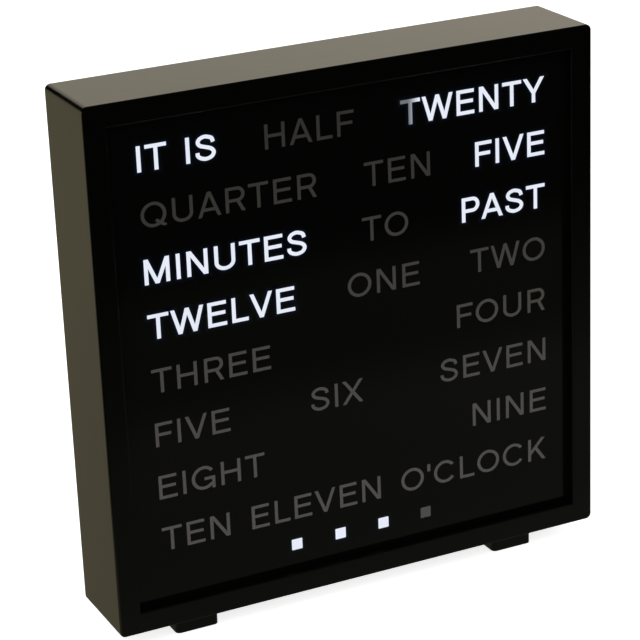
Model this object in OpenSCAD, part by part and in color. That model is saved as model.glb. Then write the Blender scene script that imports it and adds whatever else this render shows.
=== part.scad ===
// Word clock: a flat square case on two feet, with a glossy panel in front, a light grid
// that gives each word its own cell, a board of lamps behind it and a rear cover.
// X runs to the right, Y to the back and Z up. The origin is under the middle of the case,
// at the height of the surface on which the feet stand.

/* [Case] */
// Width of the case
case_w = 165; // [150:1:190]
// Height of the case without its feet
case_h = 165; // [150:1:190]
// Depth of the case
case_d = 30; // [28:0.5:40]
// Thickness of the side walls
wall_t = 2.5; // [2:0.1:2.8]
// Width of the border round the panel
border_w = 7; // [6.8:0.1:9]
// Thickness of the border
border_t = 3; // [2:0.1:3.5]
// Rounding of the case's four corners, seen from the front
corner_r = 1.8; // [1.2:0.1:2.4]
// Rounding of the front and rear edges
edge_r = 0.6; // [0.3:0.1:1]
// Rounding of the border's inner edge
window_edge_r = 0.6; // [0.3:0.1:1]
// Width of a guide rib on the inside of a wall
rib_w = 2; // [1.2:0.1:4]
// Distance between the guide ribs of one wall
rib_pitch = 40; // [30:1:44]
// How far the corner posts keep back behind the border's inner edge
post_hidden = 0.45; // [0.35:0.05:0.6]
// Clearance between parts that slip into each other
fit_gap = 0.25; // [0.1:0.05:0.3]

/* [Panel stack] */
// Thickness of the adhesive strips behind the border
tape_t = 0.3; // [0.1:0.05:0.6]
// How far the adhesive strips keep back from the border's inner edge
tape_inset = 0.5; // [0.3:0.1:1]
// Thickness of the glossy panel
panel_t = 2; // [1.5:0.1:3]
// How far the panel reaches behind the border on each side
panel_lap = 3; // [2.4:0.1:3.2]
// Thickness of the light-scattering sheet
diffuser_t = 0.5; // [0.3:0.1:1]

/* [Word layout] */
// Height of the capital letters
cap_h = 8.3; // [7:0.1:9]
// Width taken by one letter
letter_pitch = 7.3; // [6.5:0.1:7.6]
// Gap between two letters
letter_gap = 1.4; // [1:0.1:2]
// Distance from the case's top to the top of the first row
text_top = 14.4; // [13.5:0.1:16]
// Distance from the case's sides to the words
text_side = 15.2; // [14:0.1:16]
// Distance from the last row's middle to the middle of the minute squares
square_drop = 12.65; // [12.2:0.05:13.5]
// Distance from the case's bottom to the middle of the minute squares
square_bottom = 14.8; // [14:0.1:16]
// Distance between two minute squares
square_pitch = 15; // [12:0.5:18]
// Number of minute squares
square_count = 4; // [2:1:6]

/* [Light grid] */
// Depth of the light grid
grid_d = 10; // [8:0.5:10.5]
// Thickness of the grid's walls
grid_wall = 1.2; // [0.8:0.1:2]
// Radius of the grid's screw bosses
grid_boss_r = 2.4; // [2:0.1:2.6]
// Distance from the grid's side to its outer screw bosses
grid_boss_side = 5; // [4:0.5:8]
// Letters that one lamp can light
letters_per_lamp = 3; // [2:1:4]

/* [Board] */
// Thickness of the board
board_t = 1.6; // [1:0.1:2]
// Length and width of a lamp
lamp_size = 3.2; // [2.4:0.1:3.6]
// Height of a lamp
lamp_h = 1.9; // [1:0.1:2.5]
// Radius of the light opening in a lamp
lamp_eye_r = 1.2; // [0.8:0.1:1.3]
// Depth of the light opening in a lamp
lamp_eye_d = 0.4; // [0.2:0.1:0.8]

/* [Chips] */
// Place of the clock chip from the case's middle, across and up
clock_chip_at = [-18, -18];
// Places of the two lamp driver chips from the case's middle
driver_chip_at = [[20, -14], [20, 10]];
// Width of a chip's moulded body
chip_w = 7.5; // [6:0.1:9]
// Height of a chip's moulded body
chip_h = 2.3; // [1.5:0.1:3]
// Gap between the board and a chip's moulded body
chip_lift = 0.15; // [0.1:0.05:0.3]
// Plastic of a chip's body past the middle of its last lead
chip_end = 0.9; // [0.6:0.1:1.2]
// Distance between two leads of a chip
lead_pitch = 1.27; // [1:0.01:1.5]
// Width of a lead
lead_w = 0.42; // [0.3:0.01:0.6]
// Thickness of a lead
lead_t = 0.25; // [0.15:0.01:0.3]
// How far a lead reaches out from the chip's body
lead_reach = 1.4; // [1:0.1:2]
// Number of leads on one side of the clock chip
clock_chip_lead_count = 14; // [8:1:16]
// Number of leads on one side of a lamp driver chip
driver_chip_lead_count = 12; // [8:1:14]

/* [Small parts on the board] */
// Place of the crystal from the case's middle
crystal_at = [-38, -18];
// Length of the crystal's can
crystal_l = 10.2; // [8:0.1:12]
// Width of the crystal's can
crystal_w = 3.8; // [3:0.1:5]
// Height of the crystal's can
crystal_h = 3.5; // [2.5:0.1:5]
// Width of the flange round the crystal's can
crystal_flange = 0.5; // [0.2:0.1:0.8]
// Thickness of the flange round the crystal's can
crystal_flange_t = 0.5; // [0.3:0.1:0.8]
// Place of the supply capacitor from the case's middle
capacitor_at = [14, -44];
// Radius of the supply capacitor
capacitor_r = 3.15; // [2:0.05:4]
// Height of the supply capacitor's can
capacitor_h = 5; // [3:0.1:6]
// Thickness of the supply capacitor's base
capacitor_base_t = 0.9; // [0.5:0.1:1.2]
// How far the base reaches past the can on each side
capacitor_base_over = 0.2; // [0.1:0.05:0.4]
// Length of the cut at two corners of the base
capacitor_base_cut = 1.2; // [0.6:0.1:1.6]
// Place of the voltage regulator from the case's middle
regulator_at = [32, -42];
// Length of the voltage regulator
regulator_l = 6.5; // [5:0.1:8]
// Width of the voltage regulator
regulator_w = 3.5; // [3:0.1:5]
// Height of the voltage regulator
regulator_h = 1.6; // [1.2:0.1:2.2]
// Place of the row of resistors from the case's middle
resistors_at = [-18, -36];
// Number of resistors
resistor_count = 8; // [4:1:8]
// Distance between two resistors
resistor_pitch = 3.4; // [3:0.1:4]
// Length of a resistor
resistor_l = 3.2; // [2:0.1:4]
// Width of a resistor
resistor_w = 1.6; // [1:0.1:2]
// Height of a resistor
resistor_h = 0.6; // [0.4:0.1:1]

/* [Backup cell] */
// Place of the backup cell from the case's middle
cell_at = [-20, 26];
// Radius of the backup cell
cell_r = 10; // [8:0.5:10]
// Thickness of the backup cell
cell_t = 3.2; // [2:0.1:3.6]
// Width of the step round the backup cell's face
cell_step = 1; // [0.5:0.1:1.5]
// Height of the step round the backup cell's face
cell_step_t = 0.4; // [0.2:0.1:0.6]
// Wall of the cell holder
holder_wall = 1.4; // [1:0.1:2]
// Floor of the cell holder
holder_floor = 0.8; // [0.5:0.1:1]
// Width of the opening in the cell holder's wall
holder_gap_w = 11; // [8:0.5:13]
// Width of the metal strip over the cell
clip_w = 5; // [3:0.5:7]
// Thickness of the metal strip over the cell
clip_t = 0.3; // [0.2:0.05:0.4]

/* [Rear cover] */
// Thickness of the rear cover
cover_t = 2; // [1.6:0.1:2.4]
// How far the rear cover lies inside the case's rear edge
cover_inset = 1.5; // [1.5:0.1:2]
// Distance of the cover's clamp posts from the middle, across
clamp_x = 52; // [48:1:54]
// Distance of the cover's clamp posts from the middle, up and down
clamp_z = 54; // [52:1:56]
// Radius of a clamp post
clamp_r = 3; // [2:0.1:3.5]
// Thickness of the ribs that join the clamp posts
cover_rib_t = 1.2; // [0.8:0.1:2]
// Height of the ribs that join the clamp posts
cover_rib_h = 3; // [2:0.1:3.4]

/* [Keyhole] */
// Height of the keyhole's round opening above the case's middle
keyhole_z = 60; // [58:1:64]
// Radius of the keyhole's round opening
keyhole_r = 4; // [3.5:0.1:4.5]
// Width of the keyhole's slot
keyhole_slot_w = 4; // [3:0.1:4.4]
// How far the slot runs up from the round opening's middle
keyhole_slot_l = 8; // [7:0.5:9]
// Width of the thicker rim round the keyhole
keyhole_rim = 2.5; // [1.5:0.1:3]
// Thickness that the rim adds
keyhole_rim_t = 1.2; // [0.6:0.1:2]

/* [Buttons] */
// Distance of the setting buttons from the case's middle, downwards
button_drop = 62; // [60:1:64]
// Place of the hour button across
hour_x = -32; // [-36:1:-30]
// Place of the minute button across
minute_x = -14; // [-18:1:-10]
// Radius of a button
button_r = 3.5; // [3:0.1:4]
// Gap round a button in the cover
button_gap = 0.3; // [0.2:0.05:0.5]
// How far a button stands out of the cover
button_out = 1.1; // [1:0.1:1.4]
// Rounding of a button's edge
button_edge_r = 0.5; // [0.2:0.1:0.8]
// Depth of the finger dish in a button
button_dish = 0.25; // [0.1:0.05:0.4]
// Width of the flat ring between a button's dish and its rounded edge
button_land = 0.3; // [0.2:0.1:0.6]
// Width of the flange that keeps a button in the case
button_flange = 1; // [0.6:0.1:1.5]
// Thickness of that flange
button_flange_t = 1; // [0.8:0.1:1.5]
// Gap between that flange and the cover at rest
button_rest_gap = 0.3; // [0.2:0.05:0.4]
// Travel of a button
button_travel = 0.8; // [0.4:0.1:0.8]
// Length and width of a push switch
switch_size = 6.2; // [5:0.1:7]
// Height of a push switch's body
switch_h = 3.3; // [3:0.1:3.6]
// Radius of a push switch's plunger
plunger_r = 1.7; // [1.2:0.1:2]
// Running clearance round the plunger
plunger_gap = 0.08; // [0.05:0.01:0.1]
// How far the plunger stands out of the switch
plunger_out = 1.2; // [1.1:0.1:1.6]
// How far the plunger reaches into the switch
plunger_in = 1.1; // [0.8:0.1:1.2]

/* [Power socket] */
// Place of the power socket from the case's middle
socket_at = [34, -62];
// Length and width of the socket's base
socket_base = 10; // [9.2:0.1:12]
// Gap between the socket's base and the rear cover
socket_base_gap = 2.4; // [1:0.1:4]
// Outer radius of the socket's barrel
socket_r = 4; // [3.8:0.1:4.5]
// Radius of the socket's hole
socket_bore_r = 3; // [2.8:0.1:3.1]
// Plastic left under the socket's hole
socket_floor = 2.4; // [1.5:0.1:4]
// Radius of the socket's centre pin
socket_pin_r = 1; // [0.8:0.05:1.2]
// How far the centre pin's tip lies inside the socket's mouth
socket_pin_inset = 1; // [0.5:0.1:2]

/* [Feet] */
// Width of a foot
foot_w = 14; // [12:0.5:16]
// Height of a foot
foot_h = 6; // [5:0.1:8]
// Distance from the case's front and rear faces to a foot
foot_setback = 5; // [3:0.5:6]
// Distance from the case's side to a foot's middle
foot_side = 27; // [24:0.5:29]
// Rounding of a foot's upright edges
foot_corner_r = 1.5; // [0.5:0.1:3]
// Radius of a foot's locating peg
peg_r = 2; // [1.5:0.1:2.5]
// Distance from a foot's front face to its peg
peg_back = 5; // [4:0.5:6]

/* [Screws] */
// Shank radius of the cover and board screws
small_screw_r = 0.9; // [0.7:0.05:1]
// Head radius of the cover and board screws
small_head_r = 1.7; // [1.5:0.05:1.8]
// Head height of the cover and board screws
small_head_h = 1.2; // [0.8:0.1:1.3]
// Plastic of the cover left outside a cover screw's head
head_margin = 0.3; // [0.2:0.1:0.5]
// Length of the cover and board screws
small_screw_l = 8; // [6:0.5:8]
// Shank radius of the foot screws
foot_screw_r = 1.4; // [1.2:0.05:1.6]
// Head radius of the foot screws
foot_head_r = 2.6; // [2.2:0.05:2.8]
// Head height of the foot screws
foot_head_h = 1.8; // [1.4:0.1:2]
// Length of one arm of the cross in a screw's head, as a share of the head's radius
cross_arm = 0.55; // [0.4:0.05:0.7]
// Width of the cross, as a share of the head's radius
cross_w = 0.22; // [0.15:0.01:0.3]
// Depth of the cross, as a share of the head's height
cross_d = 0.55; // [0.3:0.05:0.7]
// Plastic left under the tip of a foot screw
foot_screw_floor = 2; // [1.5:0.1:2.5]
// Gap round a screw in its tapped hole
thread_gap = 0.05; // [0.02:0.01:0.08]
// Gap round a screw in a clearance hole
screw_gap = 0.25; // [0.15:0.05:0.4]

/* [Hidden] */
$fn = 48;

// Number of letters in each word, row by row from the top
WORD_ROWS = [
    [5, 4, 6],
    [7, 3, 4],
    [7, 2, 4],
    [6, 3, 3],
    [5, 4],
    [4, 3, 5],
    [5, 4],
    [3, 6, 7]
];

// Overrun of a cut past the face that it opens
cut = 1;
// Depth by which a moulded feature runs into its wall
root = 0.4;

// Planes of the stack, front to back
front_y = -case_d / 2;
tape_y = front_y + border_t;
panel_y = tape_y + tape_t;
diffuser_y = panel_y + panel_t;
grid_y = diffuser_y + diffuser_t;
board_y = grid_y + grid_d;
board_back_y = board_y + board_t;
rear_y = case_d / 2;
cover_back_y = rear_y - cover_inset;
cover_y = cover_back_y - cover_t;
bay_d = cover_y - board_back_y;

mid_z = foot_h + case_h / 2;
corner_x = case_w / 2 - corner_r;
corner_z = case_h / 2 - corner_r;
cavity_w = case_w - 2 * wall_t;
cavity_h = case_h - 2 * wall_t;
window_w = case_w - 2 * border_w;
window_h = case_h - 2 * border_w;
sheet_w = window_w + 2 * panel_lap;
sheet_h = window_h + 2 * panel_lap;

// The corner posts stay hidden behind the border, and the sheets are notched round them
post_reach = border_w - post_hidden;
notch = post_reach + fit_gap - (border_w - panel_lap);
rib_h = border_w - panel_lap - wall_t - fit_gap;
post_hole_in = wall_t + fit_gap + small_head_r + head_margin;

text_half = case_w / 2 - text_side;
row_count = len(WORD_ROWS);
row_pitch = (case_h - text_top - cap_h / 2 - square_drop - square_bottom) / (row_count - 1);

lead_rise = chip_lift + chip_h / 2;
lead_foot = lead_reach / 2;
capacitor_base_half = capacitor_r + capacitor_base_over;
holder_r = cell_r + fit_gap + holder_wall;
cell_top = holder_floor + cell_t;
flange_y = cover_y - button_rest_gap - button_flange_t;
socket_h = bay_d + cover_t;
plunger_tip_y = board_back_y + switch_h + plunger_out;
foot_d = case_d - 2 * foot_setback;
foot_front_y = front_y + foot_setback;
foot_screw_y = board_back_y + bay_d / 2;
peg_y = foot_front_y + peg_back;
foot_screw_l = wall_t + foot_h - foot_screw_floor;
case_bottom_z = foot_h;

// Height of a row's middle above the case's middle, rows counted from 0 at the top
function row_z(row) = case_h / 2 - text_top - cap_h / 2 - row * row_pitch;
function row_edge_z(edge) = row_z(edge) + row_pitch / 2;
function square_z() = row_z(row_count - 1) - square_drop;
function square_x(i) = (i - (square_count - 1) / 2) * square_pitch;
function square_cell_h() = 2 * (square_drop - row_pitch / 2);

function last_word(row) = len(row) - 1;

// The first word of a row starts at the left margin, the last ends at the right margin and
// one between them lies in the middle of the space that they leave
function word_w(letters) = letters * letter_pitch - letter_gap;
function first_end(row) = -text_half + word_w(row[0]);
function last_start(row) = text_half - word_w(row[last_word(row)]);
function word_x(row, i) =
    i == 0 ? -text_half + word_w(row[0]) / 2
    : i == last_word(row) ? text_half - word_w(row[i]) / 2
    : (first_end(row) + last_start(row)) / 2;
function divider_x(row, i) =
    (word_x(row, i) + word_w(row[i]) / 2 + word_x(row, i + 1) - word_w(row[i + 1]) / 2) / 2;
function lamp_count(letters) = ceil(letters / letters_per_lamp);
function lamp_x(letters, i) = word_w(letters) * ((i + 0.5) / lamp_count(letters) - 0.5);

// Screws that hold the board to the light grid, from the case's middle
boss_x = sheet_w / 2 - grid_boss_side;
BOARD_SCREWS = [
    [-boss_x, row_edge_z(0)],
    [boss_x, row_edge_z(0)],
    [0, row_edge_z(row_count / 2)],
    [-boss_x, row_edge_z(row_count)],
    [boss_x, row_edge_z(row_count)]
];

// ---- Helpers ----

// A flat outline, drawn from the case's middle, made solid between two depths
module slab(from_y, to_y)
    translate([0, 0, mid_z])
        rotate([90, 0, 0])
            translate([0, 0, -to_y])
                linear_extrude(to_y - from_y)
                    children();

// Something that stands on the back of the board, its own Z pointing to the rear
module on_board(at)
    translate([at[0], board_back_y, mid_z + at[1]])
        rotate([-90, 0, 0])
            children();

// Something that points to the rear from a given depth
module facing_rear(x, y, z)
    translate([x, y, z])
        rotate([-90, 0, 0])
            children();

module rounded_rect(w, h, r) {
    square([w - 2 * r, h], center = true);
    square([w, h - 2 * r], center = true);
    for (x = [-1, 1], y = [-1, 1])
        translate([x * (w / 2 - r), y * (h / 2 - r)])
            circle(r);
}

module stadium(l, w) {
    square([l - w, w], center = true);
    for (x = [-1, 1])
        translate([x * (l - w) / 2, 0])
            circle(w / 2);
}

module notched_rect(w, h, n)
    difference() {
        square([w, h], center = true);
        for (x = [-1, 1], y = [-1, 1])
            translate([x * w / 2, y * h / 2])
                square(2 * n, center = true);
    }

// A slot seen from its end, with a rounded mouth at y = 0
module flared_slot(span, depth, r) {
    translate([-span / 2, -cut])
        square([span, depth + cut]);
    difference() {
        translate([-span / 2 - r, -cut])
            square([span + 2 * r, r + cut]);
        for (x = [-1, 1])
            translate([x * (span / 2 + r), r])
                circle(r);
    }
}

// Pan-head screw that points down its own Z, with the head's underside at z = 0
module pan_screw(shank_r, length, head_r, head_h) {
    translate([0, 0, -length])
        cylinder(r = shank_r, h = length + root);
    difference() {
        cylinder(r = head_r, h = head_h);
        for (turn = [0, 90])
            rotate(turn)
                translate([0, 0, head_h])
                    cube(
                        [2 * cross_arm * head_r, cross_w * head_r, 2 * cross_d * head_h],
                        center = true
                    );
    }
}

// ---- Case ----

// Half of a corner's outline, from its middle to the side, over the case's depth
module corner_outline() {
    square([corner_r - edge_r, case_d]);
    translate([0, edge_r])
        square([corner_r, case_d - 2 * edge_r]);
    for (y = [edge_r, case_d - edge_r])
        translate([corner_r - edge_r, y])
            circle(edge_r);
}

// Box whose small front and rear roundings run on round its larger corners
module case_block() {
    translate([0, 0, mid_z - corner_z])
        linear_extrude(2 * corner_z)
            rounded_rect(case_w, case_d, edge_r);
    translate([-corner_x, 0, mid_z])
        rotate([90, 0, 90])
            linear_extrude(2 * corner_x)
                rounded_rect(case_d, case_h, edge_r);
    for (x = [-1, 1], z = [-1, 1])
        translate([x * corner_x, rear_y, mid_z + z * corner_z])
            rotate([90, 0, 0])
                rotate_extrude()
                    corner_outline();
}

// Opening in the border, its front edge rounded all the way round
module window_cut()
    intersection() {
        translate([0, front_y, mid_z - case_h / 2])
            linear_extrude(case_h)
                flared_slot(window_w, border_t + cut, window_edge_r);
        translate([-case_w / 2, front_y, mid_z])
            rotate([90, 0, 90])
                linear_extrude(case_w)
                    rotate(-90)
                        flared_slot(window_h, border_t + cut, window_edge_r);
    }

module corner_posts()
    slab(tape_y - root, cover_y)
        for (x = [-1, 1], y = [-1, 1])
            translate([
                x * (case_w / 2 - (wall_t - root + post_reach) / 2),
                y * (case_h / 2 - (wall_t - root + post_reach) / 2)
            ])
                square(post_reach - wall_t + root, center = true);

module guide_ribs()
    slab(tape_y - root, cover_y)
        for (i = [-1:1], side = [-1, 1]) {
            translate([i * rib_pitch, side * (cavity_h / 2 - (rib_h - root) / 2)])
                square([rib_w, rib_h + root], center = true);
            translate([side * (cavity_w / 2 - (rib_h - root) / 2), i * rib_pitch])
                square([rib_h + root, rib_w], center = true);
        }

module at_cover_screws()
    for (x = [-1, 1], z = [-1, 1])
        facing_rear(
            x * (case_w / 2 - post_hole_in), cover_back_y, mid_z + z * (case_h / 2 - post_hole_in)
        )
            children();

module at_feet()
    for (side = [-1, 1])
        translate([side * (case_w / 2 - foot_side), 0, 0])
            children();

module housing()
    color("#191917")
        difference() {
            union() {
                difference() {
                    case_block();
                    slab(tape_y, rear_y + cut)
                        square([cavity_w, cavity_h], center = true);
                    window_cut();
                }
                corner_posts();
                guide_ribs();
            }
            at_cover_screws()
                translate([0, 0, -small_screw_l - cut])
                    cylinder(r = small_screw_r + thread_gap, h = small_screw_l + 2 * cut);
            at_feet() {
                translate([0, foot_screw_y, case_bottom_z - cut])
                    cylinder(r = foot_screw_r + screw_gap, h = wall_t + 2 * cut);
                translate([0, peg_y, case_bottom_z - cut])
                    cylinder(r = peg_r + fit_gap, h = wall_t + 2 * cut);
            }
        }

// ---- Panel stack ----

module panel_tape()
    color("#30302c")
        slab(tape_y, panel_y)
            difference() {
                notched_rect(sheet_w, sheet_h, notch);
                square([window_w + 2 * tape_inset, window_h + 2 * tape_inset], center = true);
            }

module face_panel()
    color("#0b0b0b")
        slab(panel_y, diffuser_y)
            notched_rect(sheet_w, sheet_h, notch);

module diffuser_sheet()
    color("#e8e8e4")
        slab(diffuser_y, grid_y)
            notched_rect(sheet_w, sheet_h, notch);

// ---- Light grid ----

// Walls of the word cells: one shelf under each row, and a divider between two words
module word_walls() {
    for (edge = [0:row_count])
        translate([0, row_edge_z(edge)])
            square([sheet_w - grid_wall, grid_wall], center = true);
    for (r = [0:row_count - 1])
        for (i = [0:last_word(WORD_ROWS[r]) - 1])
            translate([divider_x(WORD_ROWS[r], i), row_z(r)])
                square([grid_wall, row_pitch], center = true);
}

// Walls of the small cells behind the minute squares
module square_walls() {
    for (i = [0:square_count])
        translate([square_x(i - 0.5), square_z()])
            square([grid_wall, square_cell_h()], center = true);
    translate([0, square_z() - square_cell_h() / 2])
        square([square_count * square_pitch + grid_wall, grid_wall], center = true);
}

module light_grid()
    color("#e9e9e6")
        difference() {
            slab(grid_y, board_y) {
                difference() {
                    notched_rect(sheet_w, sheet_h, notch);
                    notched_rect(sheet_w - 2 * grid_wall, sheet_h - 2 * grid_wall, notch);
                }
                word_walls();
                square_walls();
                for (at = BOARD_SCREWS)
                    translate(at)
                        circle(grid_boss_r);
            }
            for (at = BOARD_SCREWS)
                on_board(at)
                    translate([0, 0, -small_screw_l - cut])
                        cylinder(r = small_screw_r + thread_gap, h = small_screw_l + cut);
        }

// ---- Board and lamps ----

module led_board()
    color("#1f5a38")
        slab(board_y, board_back_y)
            difference() {
                notched_rect(sheet_w, sheet_h, notch);
                for (at = BOARD_SCREWS)
                    translate(at)
                        circle(small_screw_r + screw_gap);
            }

// A lamp on the front of the board, shining forwards through its round eye
module lamp(x, z)
    translate([x, board_y, mid_z + z])
        rotate([90, 0, 0])
            difference() {
                translate([-lamp_size / 2, -lamp_size / 2, 0])
                    cube([lamp_size, lamp_size, lamp_h]);
                translate([0, 0, lamp_h - lamp_eye_d])
                    cylinder(r = lamp_eye_r, h = lamp_eye_d + cut);
            }

module word_lamps()
    color("#f3f1e0")
        for (r = [0:row_count - 1], i = [0:last_word(WORD_ROWS[r])]) {
            letters = WORD_ROWS[r][i];
            for (k = [0:lamp_count(letters) - 1])
                lamp(word_x(WORD_ROWS[r], i) + lamp_x(letters, k), row_z(r));
        }

module minute_lamps()
    color("#f3f1e0")
        for (i = [0:square_count - 1])
            lamp(square_x(i), square_z());

// ---- Chips ----

// Bent lead seen from its end: foot on the board, riser and shoulder into the body
module lead_outline()
    polygon([
        [lead_reach, 0],
        [lead_reach, lead_t],
        [lead_foot + lead_t, lead_t],
        [lead_foot + lead_t, lead_rise + lead_t],
        [-root, lead_rise + lead_t],
        [-root, lead_rise],
        [lead_foot, lead_rise],
        [lead_foot, 0]
    ]);

module lead_row(count, body_w)
    for (i = [0:count - 1], side = [0, 1])
        rotate(180 * side)
            translate([(i - (count - 1) / 2) * lead_pitch + lead_w / 2, body_w / 2, 0])
                rotate([90, 0, -90])
                    mirror([1, 0, 0])
                        linear_extrude(lead_w)
                            lead_outline();

module chip(leads) {
    body_l = (leads - 1) * lead_pitch + 2 * chip_end;
    translate([-body_l / 2, -chip_w / 2, chip_lift])
        cube([body_l, chip_w, chip_h]);
    lead_row(leads, chip_w);
}

module clock_chip()
    color("#1c1c1e")
        on_board(clock_chip_at)
            chip(clock_chip_lead_count);

module lamp_driver_chips()
    color("#1c1c1e")
        for (at = driver_chip_at)
            on_board(at)
                chip(driver_chip_lead_count);

// ---- Small parts on the board ----

module clock_crystal()
    color("#b9b9b6")
        on_board(crystal_at) {
            linear_extrude(crystal_flange_t)
                stadium(crystal_l + 2 * crystal_flange, crystal_w + 2 * crystal_flange);
            linear_extrude(crystal_h)
                stadium(crystal_l, crystal_w);
        }

module supply_capacitor()
    color("#a8a8a5")
        on_board(capacitor_at) {
            linear_extrude(capacitor_base_t)
                difference() {
                    square(2 * capacitor_base_half, center = true);
                    for (y = [-1, 1])
                        translate([capacitor_base_half, y * capacitor_base_half])
                            rotate(45)
                                square(capacitor_base_cut * sqrt(2), center = true);
                }
            cylinder(r = capacitor_r, h = capacitor_base_t + capacitor_h);
        }

module voltage_regulator()
    color("#1c1c1e")
        on_board(regulator_at) {
            translate([-regulator_l / 2, -regulator_w / 2, chip_lift])
                cube([regulator_l, regulator_w, regulator_h]);
            translate([-regulator_l / 4, regulator_w / 2 - root, 0])
                cube([regulator_l / 2, lead_reach + root, chip_lift + lead_t]);
            for (i = [-1:1])
                translate([i * regulator_l / 3 - lead_w, -regulator_w / 2 - lead_reach, 0])
                    cube([2 * lead_w, lead_reach + root, chip_lift + lead_t]);
        }

module chip_resistors()
    color("#26262a")
        for (i = [0:resistor_count - 1])
            on_board(resistors_at)
                translate([(i - (resistor_count - 1) / 2) * resistor_pitch, 0, resistor_h / 2])
                    cube([resistor_w, resistor_l, resistor_h], center = true);

// ---- Backup cell ----

module cell_holder()
    color("#232325")
        on_board(cell_at)
            difference() {
                cylinder(r = holder_r, h = cell_top);
                translate([0, 0, holder_floor])
                    cylinder(r = cell_r + fit_gap, h = cell_t + cut);
                translate([-holder_gap_w / 2, -holder_r - cut, holder_floor])
                    cube([holder_gap_w, holder_r, cell_t + cut]);
            }

module backup_cell()
    color("#c4c4c0")
        on_board(cell_at)
            translate([0, 0, holder_floor]) {
                cylinder(r = cell_r - cell_step, h = cell_t);
                translate([0, 0, cell_step_t])
                    cylinder(r = cell_r, h = cell_t - cell_step_t);
            }

// Spring strip across the cell, with a leg down to the board at each end
module cell_clip()
    color("#c9c6ba")
        on_board(cell_at) {
            reach = holder_r + fit_gap;
            translate([-reach - clip_t, -clip_w / 2, cell_top])
                cube([2 * (reach + clip_t), clip_w, clip_t]);
            for (x = [-1, 1])
                translate([x * (reach + clip_t / 2), 0, (cell_top + clip_t) / 2])
                    cube([clip_t, clip_w, cell_top + clip_t], center = true);
        }

// ---- Power socket ----

module power_socket()
    color("#1b1b1d")
        on_board(socket_at)
            difference() {
                union() {
                    translate([-socket_base / 2, -socket_base / 2, 0])
                        cube([socket_base, socket_base, bay_d - socket_base_gap]);
                    cylinder(r = socket_r, h = socket_h);
                }
                translate([0, 0, socket_floor])
                    cylinder(r = socket_bore_r, h = socket_h);
                translate([0, 0, -cut])
                    cylinder(r = socket_pin_r + thread_gap, h = socket_floor + 2 * cut);
            }

module socket_pin()
    color("#cfcfca")
        on_board(socket_at)
            cylinder(r = socket_pin_r, h = socket_h - socket_pin_inset);

// ---- Setting buttons ----

module push_switch(x)
    color("#1d1d1f")
        on_board([x, -button_drop])
            difference() {
                union() {
                    translate([-switch_size / 2, -switch_size / 2, 0])
                        cube([switch_size, switch_size, switch_h]);
                    for (side = [-1, 1], leg = [-1, 1])
                        translate([
                            side * (switch_size + lead_reach) / 2 - lead_reach / 2,
                            leg * switch_size / 3 - lead_w,
                            0
                        ])
                            cube([lead_reach, 2 * lead_w, lead_t]);
                }
                translate([0, 0, switch_h - plunger_in - button_travel - fit_gap])
                    cylinder(
                        r = plunger_r + plunger_gap,
                        h = plunger_in + button_travel + fit_gap + cut
                    );
            }

module plunger(x)
    color("#d8d8d4")
        on_board([x, -button_drop])
            translate([0, 0, switch_h - plunger_in])
                cylinder(r = plunger_r, h = plunger_in + plunger_out);

// Button turned from one outline: stem on the switch, flange behind the cover, dished cap
module set_button(x)
    color("#242426") {
        flange_z = flange_y - plunger_tip_y;
        cap_z = cover_back_y + button_out - plunger_tip_y;
        dish_half = button_r - button_edge_r - button_land;
        dish_r = (dish_half * dish_half + button_dish * button_dish) / (2 * button_dish);
        facing_rear(x, plunger_tip_y, mid_z - button_drop)
            difference() {
                rotate_extrude() {
                    square([plunger_r, flange_z + root]);
                    translate([0, flange_z]) {
                        square([button_r + button_flange, button_flange_t]);
                        square([button_r - button_edge_r, cap_z - flange_z]);
                        square([button_r, cap_z - flange_z - button_edge_r]);
                    }
                    translate([button_r - button_edge_r, cap_z - button_edge_r])
                        circle(button_edge_r);
                }
                translate([0, 0, cap_z + dish_r - button_dish])
                    sphere(dish_r);
            }
    }

module hour_switch()
    push_switch(hour_x);

module hour_plunger()
    plunger(hour_x);

module hour_button()
    set_button(hour_x);

module minute_switch()
    push_switch(minute_x);

module minute_plunger()
    plunger(minute_x);

module minute_button()
    set_button(minute_x);

// ---- Rear cover ----

module keyhole(grow = 0) {
    circle(keyhole_r + grow);
    translate([0, keyhole_slot_l / 2])
        square([keyhole_slot_w + 2 * grow, keyhole_slot_l], center = true);
    translate([0, keyhole_slot_l])
        circle(keyhole_slot_w / 2 + grow);
}

module rear_cover()
    color("#1b1b19")
        difference() {
            union() {
                slab(cover_y, cover_back_y)
                    square([cavity_w - 2 * fit_gap, cavity_h - 2 * fit_gap], center = true);
                slab(board_back_y, cover_y + root)
                    for (x = [-1, 1], z = [-1, 1])
                        translate([x * clamp_x, z * clamp_z])
                            circle(clamp_r);
                slab(cover_y - cover_rib_h, cover_y + root)
                    for (side = [-1, 1]) {
                        translate([side * clamp_x, 0])
                            square([cover_rib_t, 2 * clamp_z], center = true);
                        translate([0, side * clamp_z])
                            square([2 * clamp_x, cover_rib_t], center = true);
                    }
                slab(cover_y - keyhole_rim_t, cover_y + root)
                    translate([0, keyhole_z])
                        keyhole(keyhole_rim);
            }
            slab(cover_y - cover_rib_h - cut, cover_back_y + cut)
                translate([0, keyhole_z])
                    keyhole();
            slab(cover_y - cut, cover_back_y + cut) {
                for (x = [hour_x, minute_x])
                    translate([x, -button_drop])
                        circle(button_r + button_gap);
                translate(socket_at)
                    circle(socket_r + fit_gap);
            }
            at_cover_screws()
                translate([0, 0, -cover_t - cut])
                    cylinder(r = small_screw_r + screw_gap, h = cover_t + 2 * cut);
        }

// ---- Screws ----

module cover_screws()
    color("#8f8f8c")
        at_cover_screws()
            pan_screw(small_screw_r, small_screw_l, small_head_r, small_head_h);

module board_screws()
    color("#8f8f8c")
        for (at = BOARD_SCREWS)
            on_board(at)
                pan_screw(small_screw_r, small_screw_l, small_head_r, small_head_h);

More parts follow.
